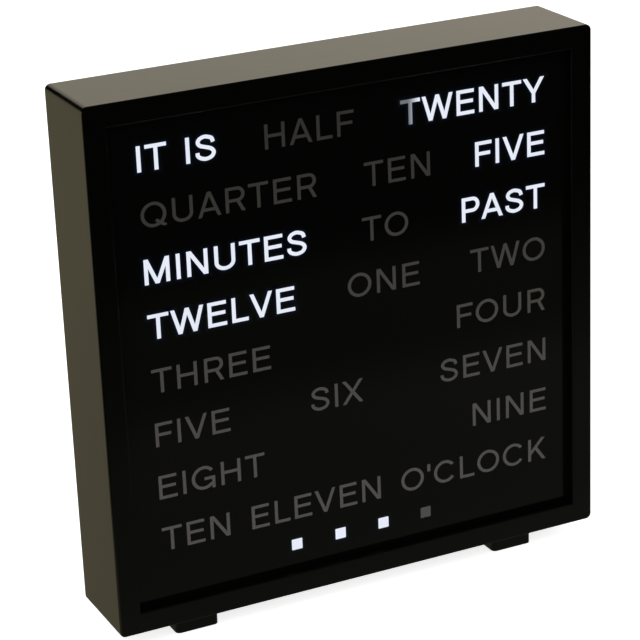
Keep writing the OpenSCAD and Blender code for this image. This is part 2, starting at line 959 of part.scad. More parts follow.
module foot_screws()
    color("#8f8f8c")
        at_feet()
            translate([0, foot_screw_y, case_bottom_z + wall_t])
                pan_screw(foot_screw_r, foot_screw_l, foot_head_r, foot_head_h);

// ---- Feet ----

// Block with a locating peg and a tapped hole, fixed by one screw from inside the case
module foot(side)
    color("#171716")
        translate([side * (case_w / 2 - foot_side), 0, 0])
            difference() {
                union() {
                    translate([0, foot_front_y + foot_d / 2, 0])
                        linear_extrude(foot_h)
                            rounded_rect(foot_w, foot_d, foot_corner_r);
                    translate([0, peg_y, foot_h - root])
                        cylinder(r = peg_r, h = wall_t + root);
                }
                translate([0, foot_screw_y, foot_screw_floor - fit_gap])
                    cylinder(r = foot_screw_r + thread_gap, h = foot_h);
            }

module left_foot()
    foot(-1);

module right_foot()
    foot(1);

housing();
panel_tape();
face_panel();
diffuser_sheet();
light_grid();
led_board();
word_lamps();
minute_lamps();
clock_chip();
lamp_driver_chips();
clock_crystal();
supply_capacitor();
voltage_regulator();
chip_resistors();
cell_holder();
backup_cell();
cell_clip();
power_socket();
socket_pin();
hour_switch();
hour_plunger();
hour_button();
minute_switch();
minute_plunger();
minute_button();
board_screws();
rear_cover();
cover_screws();
left_foot();
right_foot();
foot_screws();
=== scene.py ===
"""A word clock on its loaded frame: the words and squares on its panel, the finish of every part,
and the floor, the light and the camera around it."""

import math

import bmesh
import bpy
from bpy.props import FloatProperty, FloatVectorProperty, PointerProperty
from mathutils import Matrix, Vector, geometry


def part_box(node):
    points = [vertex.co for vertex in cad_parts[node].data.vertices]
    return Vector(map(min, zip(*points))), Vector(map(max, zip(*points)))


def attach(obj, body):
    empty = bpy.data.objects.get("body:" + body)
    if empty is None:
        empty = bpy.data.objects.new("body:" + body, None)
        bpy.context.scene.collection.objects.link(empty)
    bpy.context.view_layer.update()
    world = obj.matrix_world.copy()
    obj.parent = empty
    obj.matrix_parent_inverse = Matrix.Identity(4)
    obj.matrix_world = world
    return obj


bl_info = {
    "name": "Word Clock",
    "version": (1, 0, 0),
    "blender": (4, 5, 0),
    "location": "3D View > Sidebar > Word Clock",
    "description": "Words, finishes and stage for a word clock on its loaded frame",
    "category": "Object",
}

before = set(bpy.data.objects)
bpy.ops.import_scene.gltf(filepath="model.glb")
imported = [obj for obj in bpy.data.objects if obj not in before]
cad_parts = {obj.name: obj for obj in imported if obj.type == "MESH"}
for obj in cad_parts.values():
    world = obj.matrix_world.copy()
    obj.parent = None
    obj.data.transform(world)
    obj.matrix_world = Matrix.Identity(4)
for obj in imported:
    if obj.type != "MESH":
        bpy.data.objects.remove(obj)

PANEL_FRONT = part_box("face_panel")[0].y
BOARD_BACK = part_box("led_board")[1].y

# Rows of words from the top. A star marks a word that is lit, and a plus sign one that is lit
# and whose first lamp is weak.
WORD_ROWS = (
    ("*IT IS", "HALF", "+TWENTY"),
    ("QUARTER", "TEN", "*FIVE"),
    ("*MINUTES", "TO", "*PAST"),
    ("*TWELVE", "ONE", "TWO"),
    ("THREE", "FOUR"),
    ("FIVE", "SIX", "SEVEN"),
    ("EIGHT", "NINE"),
    ("TEN", "ELEVEN", "O'CLOCK"),
)
LIT_SQUARES = (True, True, True, False)

# Half of a part's moulded body along Z, on the board: a chip's and the voltage regulator's
CHIP_HALF = 0.00375
REGULATOR_HALF = 0.00175
# Thickness of the supply capacitor's base and length of a resistor's metal end
CAPACITOR_BASE = 0.0009
RESISTOR_END = 0.0005

# The camera's place and its right, down and forward directions
CAMERA_PLACE = (-0.30598, -0.63814, 0.35617)
CAMERA_RIGHT = (0.89758, -0.43917, -0.03852)
CAMERA_DOWN = (-0.18865, -0.30366, -0.93392)
CAMERA_FORWARD = (0.39846, 0.84553, -0.35541)
CAMERA_LENS = 138.98
SENSOR_WIDTH = 36.0


# ---- Settings ----


class WordSettings(bpy.types.PropertyGroup):
    """Sizes of the words and the minute squares"""

    cap_height: FloatProperty(
        name="Capital Height",
        description="Height of the capital letters",
        default=0.0076,
        unit="LENGTH",
    )
    letter_width: FloatProperty(
        name="Letter Width",
        description="Width of the letters against their plain cut",
        default=1.09,
    )
    stroke: FloatProperty(
        name="Stroke",
        description="Width of a letter's stroke",
        default=0.00097,
        unit="LENGTH",
    )
    tracking: FloatProperty(
        name="Tracking",
        description="Space added between two letters",
        default=0.00035,
        unit="LENGTH",
    )
    bloom: FloatProperty(
        name="Bloom",
        description="How far light widens the strokes of lit letters on each side",
        default=0.00008,
        unit="LENGTH",
    )
    row_pitch: FloatProperty(
        name="Row Pitch",
        description="Distance between two rows",
        default=0.017,
        unit="LENGTH",
    )
    first_row: FloatProperty(
        name="First Row",
        description="Height of the first row's middle above the floor",
        default=0.15245,
        unit="LENGTH",
    )
    half_width: FloatProperty(
        name="Half Width",
        description="Distance from the middle to the outer ends of the rows",
        default=0.0667,
        unit="LENGTH",
    )
    shift: FloatProperty(
        name="Shift",
        description="How far the print lies to the right of the case's middle",
        default=0.0008,
        unit="LENGTH",
    )
    relief: FloatProperty(
        name="Relief",
        description="How far the print stands on the panel",
        default=0.00004,
        unit="LENGTH",
    )
    halo: FloatProperty(
        name="Halo",
        description="How far light leaks out round lit print",
        default=0.0011,
        unit="LENGTH",
    )
    square_size: FloatProperty(
        name="Square Size",
        description="Width of a minute square",
        default=0.00355,
        unit="LENGTH",
    )
    square_pitch: FloatProperty(
        name="Square Pitch",
        description="Distance between two minute squares",
        default=0.015,
        unit="LENGTH",
    )
    square_height: FloatProperty(
        name="Square Height",
        description="Height of the squares' middles above the floor",
        default=0.0211,
        unit="LENGTH",
    )


class FinishSettings(bpy.types.PropertyGroup):
    """Colours and gloss of the outer parts"""

    case_colour: FloatVectorProperty(
        name="Case Colour",
        description="Colour of the moulded case",
        default=(0.0009, 0.0009, 0.0007),
        subtype="COLOR",
        size=3,
    )
    case_roughness: FloatProperty(
        name="Case Roughness",
        description="Roughness of the satin case",
        default=0.20,
        subtype="FACTOR",
    )
    panel_colour: FloatVectorProperty(
        name="Panel Colour",
        description="Colour of the polished panel",
        default=(0.0012, 0.0012, 0.0011),
        subtype="COLOR",
        size=3,
    )
    unlit_colour: FloatVectorProperty(
        name="Unlit Colour",
        description="Colour of a word that is not lit",
        default=(0.073, 0.068, 0.060),
        subtype="COLOR",
        size=3,
    )
    lit_colour: FloatVectorProperty(
        name="Lit Colour",
        description="Colour of a lit word",
        default=(0.80, 0.845, 0.955),
        subtype="COLOR",
        size=3,
    )
    halo_colour: FloatVectorProperty(
        name="Halo Colour",
        description="Colour of the light that leaks out close to lit print",
        default=(0.0016, 0.0031, 0.0068),
        subtype="COLOR",
        size=3,
    )


class StageSettings(bpy.types.PropertyGroup):
    """Floor and light"""

    floor_width: FloatProperty(
        name="Floor Width",
        description="Width of the floor",
        default=12.0,
        unit="LENGTH",
    )
    floor_lift: FloatProperty(
        name="Floor Lift",
        description="Light that the floor adds for the camera and for reflections",
        default=0.80,
    )
    room_light: FloatProperty(
        name="Room Light",
        description="Even light from all round",
        default=0.62,
    )
    key_power: FloatProperty(
        name="Key Power",
        description="Power of the large soft lamp at the upper left",
        default=16.0,
    )
    fill_power: FloatProperty(
        name="Fill Power",
        description="Power of the soft lamp at the right",
        default=7.0,
    )


# ---- Shader maths ----


class Wire:
    """One output of a material's nodes, on which arithmetic adds Math nodes"""

    def __init__(self, graph, socket):
        self.graph = graph
        self.socket = socket

    def _math(self, operation, first, second):
        return self.graph.add("ShaderNodeMath", {"operation": operation}, (first, second))

    def __add__(self, other):
        return self._math("ADD", self, other)

    __radd__ = __add__

    def __sub__(self, other):
        return self._math("SUBTRACT", self, other)

    def __rsub__(self, other):
        return self._math("SUBTRACT", other, self)

    def __mul__(self, other):
        return self._math("MULTIPLY", self, other)

    __rmul__ = __mul__

    def __gt__(self, other):
        return self._math("GREATER_THAN", self, other)

    def __lt__(self, other):
        return self._math("LESS_THAN", self, other)

    def __abs__(self):
        return self._math("ABSOLUTE", self, 0.0)


class Graph:
    """The nodes of one material or of the world"""

    def __init__(self, owner):
        owner.use_nodes = True
        self.tree = owner.node_tree
        self.tree.nodes.clear()

    def add(self, kind, settings=None, sockets=(), output=0):
        """A new node: first its settings, then the values or links of its sockets"""
        node = self.tree.nodes.new(kind)
        for key, value in (settings or {}).items():
            setattr(node, key, value)
        pairs = sockets.items() if isinstance(sockets, dict) else enumerate(sockets)
        for key, value in pairs:
            if isinstance(value, Wire):
                self.tree.links.new(value.socket, node.inputs[key])
            else:
                node.inputs[key].default_value = value
        return Wire(self, node.outputs[output]) if node.outputs else node

    def place(self):
        return self.add("ShaderNodeTexCoord", output="Object")

    def axis(self, name):
        """Place along one axis"""
        return self.add("ShaderNodeSeparateXYZ", None, (self.place(),), name)

    def facing(self, name):
        """How far the surface faces along one axis, from -1 to 1"""
        normal = self.add("ShaderNodeTexCoord", output="Normal")
        return self.add("ShaderNodeSeparateXYZ", None, (normal,), name)

    def noise(self, size, detail=2.0, stretch=(1.0, 1.0, 1.0)):
        """Clouds from 0 to 1 of about the given size in metres, finer along a stretched axis"""
        moved = self.add("ShaderNodeMapping", None, {"Vector": self.place(), "Scale": stretch})
        return self.add(
            "ShaderNodeTexNoise",
            None,
            {"Vector": moved, "Scale": 1.0 / size, "Detail": detail, "Roughness": 0.55},
            "Fac",
        )

    def mix(self, mask, first, second):
        """first where the mask is 0 and second where it is 1, as colours"""
        sockets = {0: mask}
        for index, colour in ((6, first), (7, second)):
            sockets[index] = colour if isinstance(colour, Wire) else rgba(colour)
        return self.add("ShaderNodeMix", {"data_type": "RGBA"}, sockets, 2)

    def spread(self, value, low, high, first=0.0, second=1.0):
        """value between low and high, mapped softly to first and second"""
        return self.add(
            "ShaderNodeMapRange",
            {"interpolation_type": "SMOOTHSTEP"},
            (value, low, high, first, second),
        )

    def bump(self, height, depth, strength=1.0):
        return self.add(
            "ShaderNodeBump",
            None,
            {"Height": height, "Distance": depth, "Strength": strength},
            "Normal",
        )

    def surface(self, sockets):
        shader = self.add("ShaderNodeBsdfPrincipled", None, sockets)
        self.add("ShaderNodeOutputMaterial", None, {"Surface": shader})


def shade(colour, share):
    return tuple(share * part for part in colour)


def rgba(colour):
    return (*colour, 1.0)


def new_graph(name):
    material = bpy.data.materials.new(name)
    return material, Graph(material)


def moulded(name, colour, roughness, grain=0.0005, relief=0.00001, spread=0.10):
    """Moulded plastic: a fine grain, soft clouds in its colour and gloss, and sparse dust"""
    material, graph = new_graph(name)
    clouds = graph.noise(0.03, 3.0)
    fine = graph.noise(grain, 2.0)
    dust = graph.spread(graph.noise(0.0016, 4.0), 0.70, 0.76)
    body = graph.mix(clouds, shade(colour, 1.0 - spread), shade(colour, 1.0 + spread))
    specks = tuple(part + 0.004 for part in colour)
    graph.surface(
        {
            "Base Color": graph.mix(dust * 0.5, body, specks),
            "Roughness": roughness - 0.04 + clouds * 0.05 + fine * 0.03,
            "IOR": 1.5,
            "Normal": graph.bump(fine, relief, 0.6),
        }
    )
    return material


def polished(name, colour, glow=(0.0, 0.0, 0.0)):
    """Polished acrylic with faint wiping marks, a few dust specks and light from behind"""
    material, graph = new_graph(name)
    marks = graph.noise(0.004, 5.0, (1.0, 1.0, 0.25))
    haze = graph.noise(0.04, 3.0)
    dust = graph.spread(graph.noise(0.0011, 3.0), 0.74, 0.78)
    graph.surface(
        {
            "Base Color": graph.mix(dust * 0.6, colour, (0.004, 0.004, 0.004)),
            "Roughness": 0.03 + marks * 0.03 + graph.spread(haze, 0.45, 0.75) * 0.05,
            "IOR": 1.49,
            "Emission Color": rgba(glow),
            "Emission Strength": 1.0,
            "Normal": graph.bump(graph.noise(0.02, 1.0), 0.00002, 0.2),
        }
    )
    return material


def plated(name, colour, roughness, stretch=(1.0, 1.0, 1.0), line=0.0004):
    """Metal with fine lines of rolling or turning and dull patches"""
    material, graph = new_graph(name)
    lines = graph.noise(line, 3.0, stretch)
    patches = graph.noise(0.003, 3.0)
    graph.surface(
        {
            "Base Color": graph.mix(patches, shade(colour, 0.86), colour),
            "Metallic": 1.0,
            "Roughness": roughness - 0.06 + lines * 0.10 + patches * 0.06,
            "Normal": graph.bump(lines, 0.000004, 0.5),
        }
    )
    return material


def foamed(name, dark, pale, cell):
    """Matt foam with cells of the given size"""
    material, graph = new_graph(name)
    sockets = {"Vector": graph.place(), "Scale": 1.0 / cell}
    cells = graph.add("ShaderNodeTexVoronoi", None, sockets, "Distance")
    graph.surface(
        {
            "Base Color": graph.mix(cells, dark, pale),
            "Roughness": 0.85 + cells * 0.1,
            "Normal": graph.bump(cells, 0.00003),
        }
    )
    return material


def two_part(name, mask_of, first, second):
    """One node of two materials: first where the mask is 0 and second where it is 1.
    Each is (colour, roughness, metallic)."""
    material, graph = new_graph(name)
    mask = mask_of(graph)
    fine = graph.noise(0.0004, 3.0)
    first_colour, first_roughness, first_metallic = first
    second_colour, second_roughness, second_metallic = second
    colour = graph.mix(mask, first_colour, second_colour)
    roughness = first_roughness + mask * (second_roughness - first_roughness)
    metallic = first_metallic
    if second_metallic != first_metallic:
        metallic = first_metallic + mask * (second_metallic - first_metallic)
    graph.surface(
        {
            "Base Color": graph.mix(fine * 0.3, colour, shade(second_colour, 0.6)),
            "Metallic": metallic,
            "Roughness": roughness - 0.04 + fine * 0.08,
            "Normal": graph.bump(fine, 0.000006, 0.5),
        }
    )
    return material


def set_finish(node, material):
    """Gives a part of the frame its finish"""
    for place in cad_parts[node].material_slots:
        place.material = material


# ---- Mesh making ----


def new_object(name, shape, material):
    """An object at the origin, made of a finished shape"""
    mesh = bpy.data.meshes.new(name)
    shape.to_mesh(mesh)
    shape.free()
    mesh.materials.append(material)
    made = bpy.data.objects.new(name, mesh)
    bpy.context.scene.collection.objects.link(made)
    return made


def new_print(name, shape, material):
    """A piece of print, which rides on the clock"""
    piece = new_object(name, shape, material)
    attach(piece, "clock")


def ribbon(points, half, closed=False):
    """Quads on both sides of a line, mitred at its corners"""
    count = len(points)
    sides = []
    for index, point in enumerate(points):
        before = points[index - 1] if index or closed else None
        after = points[(index + 1) % count] if index < count - 1 or closed else None
        into = (point - before).normalized() if before else (after - point).normalized()
        out = (after - point).normalized() if after else into
        across = Vector((-into.y - out.y, into.x + out.x)).normalized()
        reach = half / max(0.3, across.dot(Vector((-into.y, into.x))))
        sides.append((point + across * reach, point - across * reach))
    pairs = list(zip(sides, sides[1:] + sides[:1])) if closed else list(zip(sides, sides[1:]))
    return [(a[0], a[1], b[1], b[0]) for a, b in pairs]


def letter_table(half):
    """Left bearing, width, right bearing and strokes of each letter, for capitals one unit high
    whose strokes are twice half wide"""
    low = half
    high = 1.0 - half
    middle = 0.53
    wide = 0.78
    far = wide - half

    def line(*points):
        return [Vector(point) for point in points]

    def stem(x):
        return line((x, 0.0), (x, 1.0))

    def bar(from_x, to_x, y):
        return line((from_x, y), (to_x, y))

    def slant(bottom_x, top_x, bottom=0.0, top=1.0):
        """A slanted stroke that runs a little past its ends, which are trimmed later"""
        over = 0.14 * (top_x - bottom_x) / (top - bottom)
        ends = []
        if bottom == 0.0:
            ends.append((bottom_x - over, -0.14))
        else:
            ends.append((bottom_x, bottom))
        if top == 1.0:
            ends.append((top_x + over, 1.14))
        else:
            ends.append((top_x, top))
        return line(*ends)

    def lean(run):
        """Half of a slanted stroke's width, measured across"""
        return half * math.sqrt(1.0 + run * run)

    def arc(x, y, radius_x, radius_y, start, end, steps=20):
        turns = [math.radians(start + (end - start) * i / steps) for i in range(steps + 1)]
        return line(*((x + radius_x * math.cos(a), y + radius_y * math.sin(a)) for a in turns))

    def smooth(points, steps=6):
        """A soft line through the points"""
        ends = [points[0], *points, points[-1]]
        found = []
        for a, b, c, d in zip(ends, ends[1:], ends[2:], ends[3:]):
            a, b, c, d = Vector(a), Vector(b), Vector(c), Vector(d)
            for i in range(steps):
                t = i / steps
                found.append(
                    0.5
                    * (
                        2 * b
                        + (c - a) * t
                        + (2 * a - 5 * b + 4 * c - d) * t * t
                        + (3 * b - a - 3 * c + d) * t * t * t
                    )
                )
        return [*found, Vector(points[-1])]

    def bowl(right_x, straight_x, bottom, top):
        """The round part of a P or an R"""
        radius = (top - bottom) / 2
        turn = arc(straight_x, bottom + radius, right_x - straight_x, radius, 90, -90, 16)
        return [Vector((half, top)), *turn, Vector((half, bottom))]

    round_w = 0.96
    ring = arc(round_w / 2, 0.5, round_w / 2 - half, 0.5 - half, 0, 360, 48)[:-1]
    a_w, m_w, v_w, w_w, x_w, y_w = 0.88, 0.94, 0.86, 1.24, 0.86, 0.87
    a_foot = lean(a_w / 2 - half)
    m_in = lean(m_w / 2 - half) + 0.005
    n_in = lean(wide - 2 * half) + 0.005
    v_in = lean(v_w / 2 - half)
    w_in = lean(w_w / 4)
    x_in = lean(x_w - 2 * half)
    y_in = lean((y_w / 2 - half) / 0.6)
    u_bend = 0.34
    s_line = smooth(
        [
            (0.672, 0.700),
            (0.625, 0.842),
            (0.500, 0.908),
            (0.360, high),
            (0.205, 0.890),
            (0.118, 0.800),
            (0.112, 0.700),
            (0.190, 0.600),
            (0.375, 0.530),
            (0.570, 0.455),
            (0.672, 0.350),
            (0.680, 0.240),
            (0.590, 0.120),
            (0.385, low),
            (0.190, 0.120),
            (0.090, 0.220),
            (0.078, 0.330),
        ]
    )
    upright, curved, slanted = 0.115, 0.065, 0.02
    return {
        "A": (
            slanted,
            a_w,
            slanted,
            [
                slant(a_foot, a_w / 2),
                slant(a_w - a_foot, a_w / 2),
                bar(a_w * 0.22, a_w * 0.78, 0.29),
            ],
        ),
        "C": (curved, 0.90, curved, [arc(0.475, 0.5, 0.475 - half, 0.5 - half, 37, 323, 40)]),
        "E": (
            upright,
            0.71,
            curved,
            [stem(half), bar(half, 0.71, low), bar(half, 0.66, middle), bar(half, 0.70, high)],
        ),
        "F": (upright, 0.67, 0.03, [stem(half), bar(half, 0.61, 0.505), bar(half, 0.67, high)]),
        "G": (
            curved,
            0.92,
            upright * 0.7,
            [
                arc(0.475, 0.5, 0.475 - half, 0.5 - half, 38, 322, 40),
                line((0.92 - half, 0.0), (0.92 - half, 0.47)),
                bar(0.50, 0.92, 0.45),
            ],
        ),
        "H": (upright, wide, upright, [stem(half), stem(far), bar(half, far, 0.52)]),
        "I": (upright, 2 * half, upright, [stem(half)]),
        "K": (
            upright,
            0.80,
            0.0,
            [stem(half), slant(half, 0.66, 0.30, 1.0), slant(0.70, 0.33, 0.0, 0.58)],
        ),
        "L": (upright, 0.62, 0.03, [stem(half), bar(half, 0.62, low)]),
        "M": (
            upright,
            m_w,
            upright,
            [
                stem(half),
                stem(m_w - half),
                slant(m_w / 2, m_in),
                slant(m_w / 2, m_w - m_in),
            ],
        ),
        "N": (upright, wide, upright, [stem(half), stem(far), slant(wide - n_in, n_in)]),
        "O": (curved, round_w, curved, [ring]),
        "P": (upright, 0.72, 0.04, [stem(half), bowl(0.72 - half, 0.44, 0.45, high)]),
        "Q": (curved, round_w, curved, [ring, line((0.56, 0.27), (0.93, 0.0))]),
        "R": (
            upright,
            0.77,
            0.04,
            [
                stem(half),
                bowl(0.74 - half, 0.46, 0.46, high),
                slant(0.685, 0.45, 0.0, 0.49),
            ],
        ),
        "S": (curved, 0.76, curved, [s_line]),
        "T": (0.03, 0.78, 0.03, [bar(0.0, 0.78, high), stem(0.39)]),
        "U": (
            upright,
            wide,
            upright,
            [
                [
                    Vector((half, 1.0)),
                    *arc(wide / 2, u_bend, far - wide / 2, u_bend - half, 180, 360, 24),
                    Vector((far, 1.0)),
                ]
            ],
        ),
        "V": (slanted, v_w, slanted, [slant(v_w / 2, v_in), slant(v_w / 2, v_w - v_in)]),
        "W": (
            slanted,
            w_w,
            slanted,
            [
                slant(w_w * 0.27, w_in),
                slant(w_w * 0.27, w_w / 2),
                slant(w_w * 0.73, w_w / 2),
                slant(w_w * 0.73, w_w - w_in),
            ],
        ),
        "X": (slanted, x_w, slanted, [slant(x_in, x_w - x_in), slant(x_w - x_in, x_in)]),
        "Y": (
            slanted,
            y_w,
            slanted,
            [
                slant(y_w / 2, y_in, 0.38, 1.0),
                slant(y_w / 2, y_w - y_in, 0.38, 1.0),
                line((y_w / 2, 0.0), (y_w / 2, 0.45)),
            ],
        ),
        "'": (0.05, 2 * half, 0.05, [line((half, 0.68), (half, 1.0))]),
        " ": (0.0, 0.50, 0.0, []),
    }


def lengthened(points, by):
    """A line with both ends moved outwards"""
    start = points[0] + (points[0] - points[1]).normalized() * by
    end = points[-1] + (points[-1] - points[-2]).normalized() * by
    return [start, *points[1:-1], end]


def lettering(text, size, bleed=0.0):
    """A line of flat letters in the XY plane that starts at X = 0, its strokes grown all round by
    bleed, and the line's length"""
    height = size.cap_height
    width_unit = height * size.letter_width
    half = size.stroke / height / 2
    grown = bleed / height
    table = letter_table(half)
    shape = bmesh.new()
    cursor = -table[text[0]][0]
    for letter in text:
        left, width, right, strokes = table[letter]
        corners = []
        faces = []
        for points in strokes:
            ring = letter in "OQ" and len(points) > 2
            path = points if ring else lengthened(points, grown)
            for quad in ribbon(path, half + grown, ring):
                faces.append(list(range(len(corners), len(corners) + 4)))
                corners.extend(quad)
        if faces:
            places, _, found, _, _, covered = geometry.delaunay_2d_cdt(
                corners, [], faces, 4, 1e-5
            )
            shift = cursor + left
            made = [shape.verts.new((spot.x + shift, spot.y, 0.0)) for spot in places]
            for face, strokes_over in zip(found, covered):
                if strokes_over:
                    shape.faces.new([made[index] for index in face])
        cursor += left + width + right + size.tracking / width_unit
    length = cursor - table[text[-1]][2] - size.tracking / width_unit
    for level, side in ((-grown, -1.0), (1.0 + grown, 1.0)):
        bmesh.ops.bisect_plane(
            shape,
            geom=[*shape.verts, *shape.edges, *shape.faces],
            plane_co=(0.0, level, 0.0),
            plane_no=(0.0, side, 0.0),
            clear_outer=True,
        )
    bmesh.ops.scale(shape, vec=(width_unit, height, height), verts=shape.verts)
    return shape, length * width_unit


def stand_on_panel(shape, x, z, relief):
    """Gives a flat shape its thickness and sets it upright on the panel"""
    bmesh.ops.recalc_face_normals(shape, faces=shape.faces)
    grown = bmesh.ops.extrude_face_region(shape, geom=list(shape.faces))
    raised = [item for item in grown["geom"] if isinstance(item, bmesh.types.BMVert)]
    bmesh.ops.translate(shape, vec=(0.0, 0.0, relief), verts=raised)
    upright = Matrix.Translation((x, PANEL_FRONT, z)) @ Matrix.Rotation(math.pi / 2, 4, "X")
    bmesh.ops.transform(shape, matrix=upright, verts=shape.verts)
    bmesh.ops.recalc_face_normals(shape, faces=shape.faces)


# ---- Print finishes ----


def unlit_finish(name):
    """Milky film behind the smoked panel, with painted light that makes it lighter towards the
    bottom and darker towards the top
    """
    colour = bpy.context.scene.word_clock_finish.unlit_colour
    material, graph = new_graph(name)
    # Painted light: the film's colour is lighter low on the panel and darker high on it
    height = graph.spread(graph.axis("Z"), 0.02, 0.165, 1.0, 0.0)
    frost = graph.noise(0.0006, 3.0)
    body = graph.mix(height, shade(colour, 0.45), shade(colour, 1.35))
    graph.surface(
        {
            "Base Color": graph.mix(frost * 0.35, body, shade(colour, 0.5)),
            "Roughness": 0.42 + frost * 0.16,
            "Coat Weight": 1.0,
            "Coat Roughness": 0.05,
            "Coat IOR": 1.49,
            "Normal": graph.bump(frost, 0.000004, 0.3),
        }
    )
    return material


def lit_finish(name, start=None, full=None):
    """Film with a lamp behind it. Between start and full across, the light grows from weak to
    full."""
    colour = bpy.context.scene.word_clock_finish.lit_colour
    material, graph = new_graph(name)
    frost = graph.noise(0.0008, 3.0)
    ripple = graph.noise(0.012, 1.0)
    glow = 0.87 + ripple * 0.20 + frost * 0.04
    if start is not None:
        glow = glow * graph.spread(graph.axis("X"), start, full, 0.16, 1.0)
    light = graph.mix(glow, (0.0, 0.0, 0.0), colour)
    graph.surface(
        {
            "Base Color": graph.mix(frost, (0.04, 0.04, 0.04), (0.06, 0.06, 0.06)),
            "Roughness": 0.5,
            "Coat Weight": 1.0,
            "Coat Roughness": 0.05,
            "Emission Color": light,
            "Emission Strength": 1.0,
        }
    )
    return material


def halo_layers():
    """Growth, relief and finish of the two layers of light that leak out round lit print"""
    finish = bpy.context.scene.word_clock_finish
    size = bpy.context.scene.word_clock_words
    wide = polished("halo_wide", finish.panel_colour, shade(finish.halo_colour, 0.30))
    close = polished("halo_close", finish.panel_colour, finish.halo_colour)
    return (
        (size.halo, size.relief * 0.25, wide),
        (size.halo * 0.5, size.relief * 0.5, close),
    )


# ---- Operators ----


class WORDCLOCK_OT_words(bpy.types.Operator):
    """Prints the time words on the panel"""

    bl_idname = "wordclock.words"
    bl_label = "Time Words"

    def execute(self, context):
        size = context.scene.word_clock_words
        unlit = unlit_finish("unlit_words")
        lit = lit_finish("lit_words")
        halos = halo_layers()
        for row, words in enumerate(WORD_ROWS):
            z = size.first_row - row * size.row_pitch - size.cap_height / 2
            made = []
            for word in words:
                text = word.lstrip("*+")
                bloom = size.bloom if word != text else 0.0
                shape, length = lettering(text, size, bloom)
                made.append((word, text, shape, length))
            gap_from = -size.half_width + made[0][3]
            gap_to = size.half_width - made[-1][3]
            for index, (word, text, shape, length) in enumerate(made):
                x = (gap_from + gap_to - length) / 2
                if index == 0:
                    x = -size.half_width
                elif index == len(made) - 1:
                    x = gap_to
                material = unlit
                if word[0] == "*":
                    material = lit
                elif word[0] == "+":
                    material = lit_finish("weak_start_word", x + 0.003, x + size.cap_height)
                stand_on_panel(shape, x + size.shift, z, size.relief)
                label = "".join(letter for letter in text.lower() if letter.isalpha())
                new_print(f"word_{row + 1}_{label}", shape, material)
                if material != unlit:
                    self.add_halo(size, f"{row + 1}_{label}", text, x, z, halos)
        return {"FINISHED"}

    @staticmethod
    def add_halo(size, label, text, x, z, halos):
        """The light that leaks out round a lit word, in two steps"""
        for step, (bleed, relief, material) in enumerate(halos, 1):
            shape, _ = lettering(text, size, size.bloom + bleed)
            stand_on_panel(shape, x + size.shift, z, relief)
            new_print(f"halo_{label}_{step}", shape, material)


class WORDCLOCK_OT_squares(bpy.types.Operator):
    """Prints the four minute squares below the words"""

    bl_idname = "wordclock.squares"
    bl_label = "Minute Squares"

    def execute(self, context):
        size = context.scene.word_clock_words
        finishes = {True: lit_finish("lit_squares"), False: unlit_finish("unlit_square")}
        halos = halo_layers()
        for index, lit in enumerate(LIT_SQUARES):
            name = f"minute_square_{index + 1}"
            self.add_square(size, index, 0.0, size.relief, name, finishes[lit])
            for step, (bleed, relief, material) in enumerate(halos if lit else (), 1):
                self.add_square(size, index, bleed, relief, f"{name}_halo_{step}", material)
        return {"FINISHED"}

    @staticmethod
    def add_square(size, index, bleed, relief, name, material):
        shape = bmesh.new()
        half = size.square_size / 2 + bleed
        bmesh.ops.create_grid(shape, x_segments=1, y_segments=1, size=half)
        bmesh.ops.bevel(
            shape,
            geom=list(shape.verts),
            offset=size.square_size * 0.06 + bleed * 0.6,
            offset_type="OFFSET",
            affect="VERTICES",
            segments=3,
            profile=0.5,
            material=-1,
        )
        x = (index - (len(LIT_SQUARES) - 1) / 2) * size.square_pitch + size.shift
        stand_on_panel(shape, x, size.square_height, relief)
        new_print(name, shape, material)


class WORDCLOCK_OT_case(bpy.types.Operator):
    """Finishes the case, the rear cover and the feet"""

    bl_idname = "wordclock.case"
    bl_label = "Case"

    def execute(self, context):
        finish = context.scene.word_clock_finish
        colour = finish.case_colour
        case = moulded("case_plastic_satin", colour, finish.case_roughness)
        cover = moulded("cover_plastic_grained", shade(colour, 1.5), 0.5, 0.0007, 0.00003)
        foot = moulded("foot_plastic_satin", shade(colour, 2.0), 0.32, 0.0006, 0.00001)
        set_finish("housing", case)
        set_finish("rear_cover", cover)
        set_finish("left_foot", foot)
        set_finish("right_foot", foot)
        return {"FINISHED"}


class WORDCLOCK_OT_panel(bpy.types.Operator):
    """Finishes the panel, its adhesive strips, the light sheet and the light grid"""

    bl_idname = "wordclock.panel"
    bl_label = "Panel Stack"

    def execute(self, context):
        finish = context.scene.word_clock_finish
        gloss = polished("panel_gloss_black", finish.panel_colour)
        foam = foamed("tape_foam_cells", (0.018, 0.018, 0.017), (0.032, 0.032, 0.030), 0.00025)
        film = moulded("diffuser_film_frosted", (0.80, 0.80, 0.78), 0.55, 0.0003, 0.00001, 0.02)
        grid = moulded("grid_white_moulded", (0.78, 0.78, 0.75), 0.45, 0.0008, 0.00001, 0.04)
        set_finish("face_panel", gloss)
        set_finish("panel_tape", foam)
        set_finish("diffuser_sheet", film)
        set_finish("light_grid", grid)
        return {"FINISHED"}


